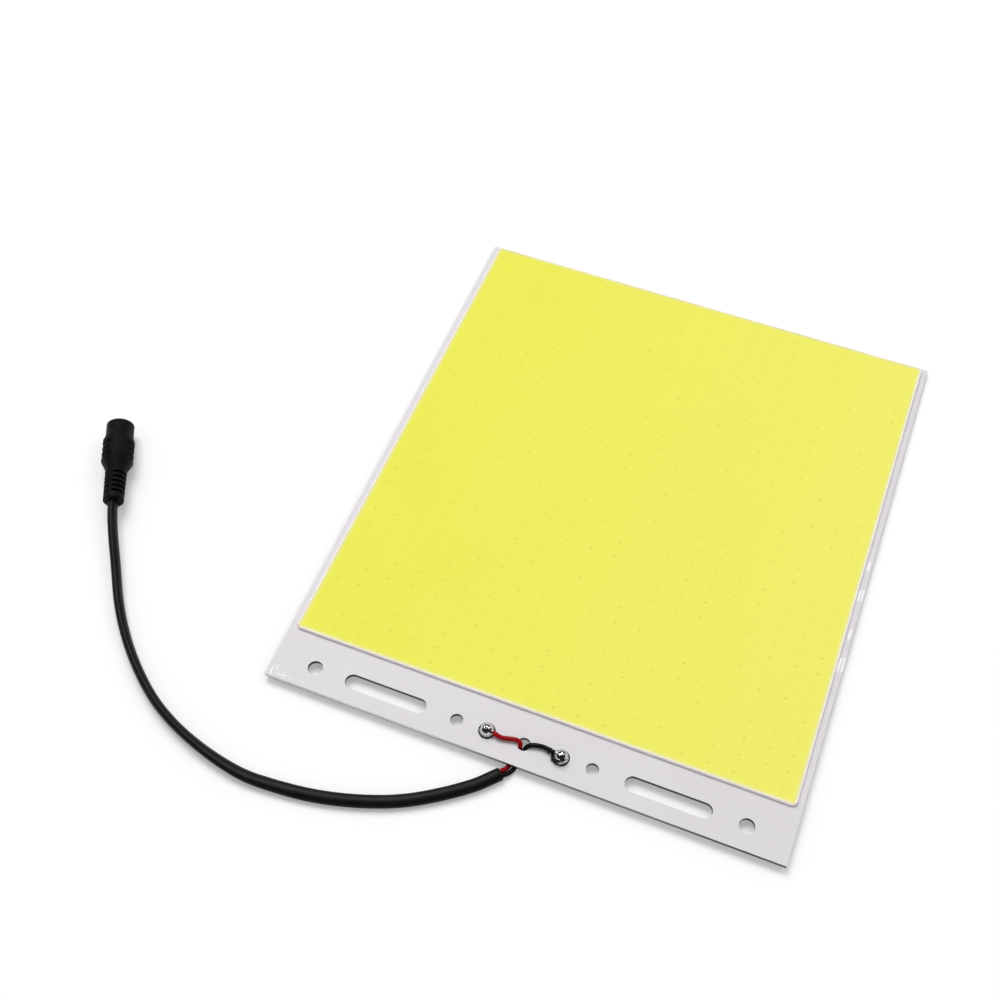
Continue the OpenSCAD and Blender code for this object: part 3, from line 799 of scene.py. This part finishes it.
def solderJoint(name, side, node):
    dome, foot, hump = joint["dome"], joint["foot"], joint["hump"]
    bpy.ops.mesh.primitive_uv_sphere_add(segments=40, ring_count=24, radius=dome["round"],
                                         location=(side * joint["x"], 0, dome["mid"]))
    pieces = [added(name)]
    bpy.ops.mesh.primitive_cone_add(vertices=48, radius1=foot["round"], radius2=foot["topRound"],
                                    depth=foot["tall"],
                                    location=(side * joint["x"], 0, joint["copper"] + foot["tall"] / 2))
    pieces.append(added("foot"))
    bpy.ops.mesh.primitive_uv_sphere_add(segments=24, ring_count=16, radius=1, location=(
        side * (joint["x"] - hump["inward"]), side * hump["aside"], hump["mid"]))
    pieces.append(added("hump"))
    pieces[-1].scale = hump["half"]
    for piece in pieces:
        applyPlace(piece)
    blob = joined(name, pieces)
    finishWith(blob, "REMESH", mode="VOXEL", voxel_size=joint["voxel"], adaptivity=0)
    waves = bpy.data.textures.new(name + "Waves", "CLOUDS")
    waves.noise_scale = joint["waveSize"]
    finishWith(blob, "DISPLACE", texture=waves, strength=joint["waveHigh"], mid_level=0.5,
               texture_coords="LOCAL")
    bpy.data.textures.remove(waves)
    finishWith(blob, "SMOOTH", factor=joint["relax"], iterations=joint["relaxRounds"])
    openEdit(blob, "VERT")
    bpy.ops.mesh.bisect(plane_co=(0, 0, joint["copper"]), plane_no=(0, 0, -1), use_fill=True,
                        clear_outer=True)
    closeEdit()
    smoothBelow(joint["smooth"])
    settle(blob, finishes["solder"])
    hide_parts(node)


solderJoint("solderPositive", -1, "solder_joint_positive")
solderJoint("solderNegative", 1, "solder_joint_negative")

# dam bead: a D shaped run of silicone round the light field
dam = {
    **damRun,
    "corner": 1.4,
    "cornerSteps": 8,
    "half": 0.6,
    "shoulder": 0.5,
    "arcSteps": 12,
    "stationEvery": 3,
    "waves": [(0.025, 0.83, 0), (0.02, 0.31, 1)],
}
damCorners = []
for quarter, side, back in ((0, 1, True), (1, -1, True), (2, -1, False), (3, 1, False)):
    midX = side * (dam["x"] - dam["corner"])
    midY = dam["back"] - dam["corner"] if back else dam["front"] + dam["corner"]
    for k in range(dam["cornerSteps"] + 1):
        angle = math.pi / 2 * (quarter + k / dam["cornerSteps"])
        damCorners.append((midX + dam["corner"] * math.cos(angle), midY + dam["corner"] * math.sin(angle),
                           board["top"]))
damLine = []  # with more stations on the straights, for a hand laid wander
for a, b in zip(damCorners, damCorners[1:] + damCorners[:1]):
    damLine.append(a)
    parts = int(math.dist(a, b) / dam["stationEvery"])
    damLine += [between(a, b, k / parts) for k in range(1, parts)]
swell = [1 + waver(k, dam["waves"]) for k in range(len(damLine))]
damPoints = [(-dam["half"], 0, 0), (dam["half"], 0, 0)]
for k in range(dam["arcSteps"] + 1):
    angle = math.pi * k / dam["arcSteps"]
    damPoints.append((dam["half"] * math.cos(angle), dam["shoulder"] + dam["half"] * math.sin(angle), 0))
damProfile = polyCurve("damProfile", "2D", damPoints, True)
bead = threaded("damBead", damLine, widths=swell, outline=damProfile, twist="Z_UP", closed=True)
bpy.data.objects.remove(damProfile)
settle(bead, finishes["bead"])
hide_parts("dam_bead")

# phosphor coat: tiles with a shallow dish over each die, run into one sheet
sheet = {
    "top": 2.55,
    "columns": 18,
    "rows": 30,
    "edgeX": 86.95,
    "backY": 200.75,
    "dish": (1.15, 0.75, 1),
    "dishSides": 12,
    "deep": 0.06,
    "insets": [(0.2, 0), (0.2, 0.7), (0.15, 0.3)],  # width of each step in, and its share of the depth
    "middle": 0.4,
    "seam": 0.001,
    "weld": 0.002,
    "near": 0.01,
    "smooth": 30,
}


def coatTile(name, x, wide):
    long = dieGrid["pitchY"]
    bpy.ops.mesh.primitive_circle_add(vertices=sheet["dishSides"], radius=1, fill_type="NGON")
    dish = added(name)
    dish.scale = sheet["dish"]
    applyPlace(dish)
    openEdit(dish)
    for inward, share in sheet["insets"]:
        bpy.ops.mesh.inset(thickness=inward)
        bpy.ops.transform.translate(value=(0, 0, -sheet["deep"] * share))
    closeEdit()
    bpy.ops.mesh.primitive_plane_add(size=1)
    rim = added("rim")
    rim.scale = (wide, long, 1)
    applyPlace(rim)
    openEdit(rim, "EDGE")
    bpy.ops.mesh.subdivide(number_cuts=2)
    bpy.ops.mesh.delete(type="ONLY_FACE")
    closeEdit()
    pick(rim, lambda at: abs(at.x) < wide * sheet["middle"] and abs(at.y) < long * sheet["middle"])
    bpy.ops.mesh.delete(type="VERT")
    closeEdit()
    tile = joined(name, [dish, rim])
    pickBorders(tile)
    bpy.ops.mesh.bridge_edge_loops()
    closeOutward()
    tile.location = (x, dieGrid["firstY"], sheet["top"])
    applyPlace(tile)
    return tile


def repeat(piece, count, step):
    finishWith(piece, "ARRAY", count=count, use_relative_offset=False, use_constant_offset=True,
               constant_offset_displace=step, use_merge_vertices=True, merge_threshold=sheet["seam"])


middleTiles = coatTile("middleTiles", dieGrid["pitchX"] / 2 - dieGrid["fieldX"], dieGrid["pitchX"])
repeat(middleTiles, sheet["columns"], (dieGrid["pitchX"], 0, 0))
rimWide = 2 * (dieGrid["outer"] - dieGrid["fieldX"])
leftTiles = coatTile("leftTiles", -dieGrid["outer"], rimWide)
rightTiles = coatTile("rightTiles", dieGrid["outer"], rimWide)
coat = joined("phosphorCoat", [middleTiles, leftTiles, rightTiles])
repeat(coat, sheet["rows"], (0, dieGrid["pitchY"], 0))
openEdit(coat, "VERT")
bpy.ops.mesh.remove_doubles(threshold=sheet["weld"])
closeEdit()
sideX = dieGrid["fieldX"] + rimWide
lastY = dieGrid["firstY"] + (sheet["rows"] - 0.5) * dieGrid["pitchY"]
stretches = [  # the right, left and far borders, drawn out to the bead
    (lambda at: at.x > sideX - sheet["near"], (sheet["edgeX"] - sideX, 0, 0)),
    (lambda at: at.x < sheet["near"] - sideX, (sideX - sheet["edgeX"], 0, 0)),
    (lambda at: at.y > lastY - sheet["near"], (0, sheet["backY"] - lastY, 0)),
]
for test, shift in stretches:
    pick(coat, test)
    bpy.ops.transform.translate(value=shift)
    closeEdit()
pickBorders(coat)
bpy.ops.mesh.extrude_edges_move(TRANSFORM_OT_translate={"value": (0, 0, board["top"] - sheet["top"])})
bpy.ops.mesh.edge_face_add()
closeOutward()
smoothBelow(sheet["smooth"])
settle(coat, finishes["phosphor"])
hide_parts("phosphor_coat")


# jack: turned moulding with grooves on two sides of its grip and a slotted strain relief
def turned(name, stations, sides):
    bpy.ops.mesh.primitive_circle_add(vertices=sides, radius=stations[0][1], fill_type="NGON",
                                      location=(stations[0][0], 0, 0), rotation=(0, math.pi / 2, 0))
    piece = added(name)
    applyPlace(piece)
    openEdit(piece)
    for (x0, r0), (x1, r1) in zip(stations, stations[1:]):
        bpy.ops.mesh.extrude_region_move(TRANSFORM_OT_translate={"value": (x1 - x0, 0, 0)})
        bpy.ops.transform.resize(value=(1, r1 / r0, r1 / r0), center_override=(x1, 0, 0))
    closeOutward()
    return piece


# a flared bar, swept round the jack's axis
def cutRing(cuts, x, side):
    middle = cuts["inner"] + cuts["tall"] / 2
    bpy.ops.mesh.primitive_plane_add(size=1)
    ring = added("cutRing")
    ring.scale = (cuts["wide"], cuts["tall"], 1)
    ring.location = (0, middle, 0)
    applyPlace(ring)
    pick(ring, lambda at: at.y > middle)
    bpy.ops.transform.resize(value=(1 + 2 * cuts["flare"] * cuts["tall"] / cuts["wide"], 1, 1))
    closeEdit()
    ring.rotation_euler = (math.radians(cuts["from"] + cuts["sweep"] + side), 0, 0)
    ring.location = (x, 0, 0)
    applyPlace(ring)
    openEdit(ring)
    bpy.ops.mesh.spin(steps=jack["sweepSteps"], angle=math.radians(cuts["sweep"]), center=(0, 0, 0),
                      axis=(1, 0, 0))
    closeOutward()
    return ring


def cutAway(piece, tool):
    finishWith(piece, "BOOLEAN", object=tool, operation="DIFFERENCE", solver="EXACT")
    bpy.data.objects.remove(tool)


shell = turned("jackShell", jack["stations"], jack["sides"])
for cuts in (jack["grooves"], jack["slots"]):
    cutAway(shell, joined("cutRings", [cutRing(cuts, x, side) for x in cuts["at"] for side in (0, 180)]))
bore = jack["bore"]
boreMid = jack["stations"][-1][0] - bore["deep"] / 2 + bore["over"] / 2
bpy.ops.mesh.primitive_cylinder_add(vertices=jack["sides"], radius=bore["round"],
                                    depth=bore["deep"] + bore["over"], location=(boreMid, 0, 0),
                                    rotation=(0, math.pi / 2, 0))
boreTool = added("boreTool")
applyPlace(boreTool)
cutAway(shell, boreTool)
openEdit(shell, "VERT")
bpy.ops.mesh.remove_doubles(threshold=jack["weld"])
bpy.ops.mesh.dissolve_degenerate(threshold=jack["slivers"])
closeEdit()
smoothBelow(jack["smooth"])
shell.rotation_euler = (math.radians(jack["roll"]), 0, math.radians(jack["turn"]))
shell.location = jack["place"]
settle(shell, finishes["moulding"])
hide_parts("jack_body")


def rayKinds(tree):
    rays = newNode(tree, "LightPath").outputs
    return rays["Is Camera Ray"], calc(tree, "MAXIMUM", rays["Is Glossy Ray"], rays["Is Transmission Ray"])


# floor, white to the camera and in reflections, with the shadow kept
paperLook = {"wide": 8, "tone": (0.84, 0.84, 0.84, 1), "light": (1, 1, 1, 1), "glow": 0.2}
bpy.ops.mesh.primitive_plane_add(size=paperLook["wide"], location=(0, board["far"] / 1000, 0),
                                 rotation=(math.atan(board["drop"] / board["long"]), 0, 0))
floor = added("studioFloor")
paper = bpy.data.materials.new("whitePaper")
tree = cleared(paper)
glow = calc(tree, "MULTIPLY", calc(tree, "MAXIMUM", *rayKinds(tree)), paperLook["glow"])
glow = newNode(tree, "Emission", {"Color": paperLook["light"], "Strength": glow})
matt = newNode(tree, "BsdfDiffuse", {"Color": paperLook["tone"]})
both = newNode(tree, "AddShader", {0: glow.outputs[0], 1: matt.outputs[0]})
newNode(tree, "OutputMaterial", {"Surface": both.outputs[0]})
floor.data.materials.append(paper)

# a surround that is white near the floor and dark overhead in reflections, and two softboxes
lamps = {
    "backSoftbox": {"place": (-1.6, 2.1, 4.0), "aim": (0, 0.08, 0), "size": 2.9, "watts": 141.0},
    "sideSoftbox": {"place": (1.9, 2.0, 3.4), "aim": (0, 0.08, 0), "size": 1.6, "watts": 20.0},
}
for name, lamp in lamps.items():
    light = bpy.data.lights.new(name, "AREA")
    light.shape = "SQUARE"
    light.size = lamp["size"]
    light.energy = lamp["watts"]
    piece = linked(name, light)
    piece.location = lamp["place"]
    piece.rotation_euler = (Vector(lamp["aim"]) - Vector(lamp["place"])).to_track_quat("-Z", "Y").to_euler()
airLook = {"light": (1, 1, 1, 1), "seen": 1.0, "fill": 0.43, "mirrored": (0.03, 0.2, 1.0, 0.02)}
world = bpy.data.worlds.new("studioSurround")
bpy.context.scene.world = world
tree = cleared(world)
seen, mirrored = rayKinds(tree)
aim = split(tree, newNode(tree, "TexCoord").outputs["Generated"])
mirrorTone = ranged(tree, aim["Z"], *airLook["mirrored"], True)
strength = calc(tree, "MULTIPLY_ADD", seen, airLook["seen"] - airLook["fill"], airLook["fill"])
strength = calc(tree, "MULTIPLY_ADD", mirrored, calc(tree, "SUBTRACT", mirrorTone, airLook["fill"]), strength)
surround = newNode(tree, "Background", {"Color": airLook["light"], "Strength": strength})
newNode(tree, "OutputWorld", {"Surface": surround.outputs[0]})
print("floor and lamps set")
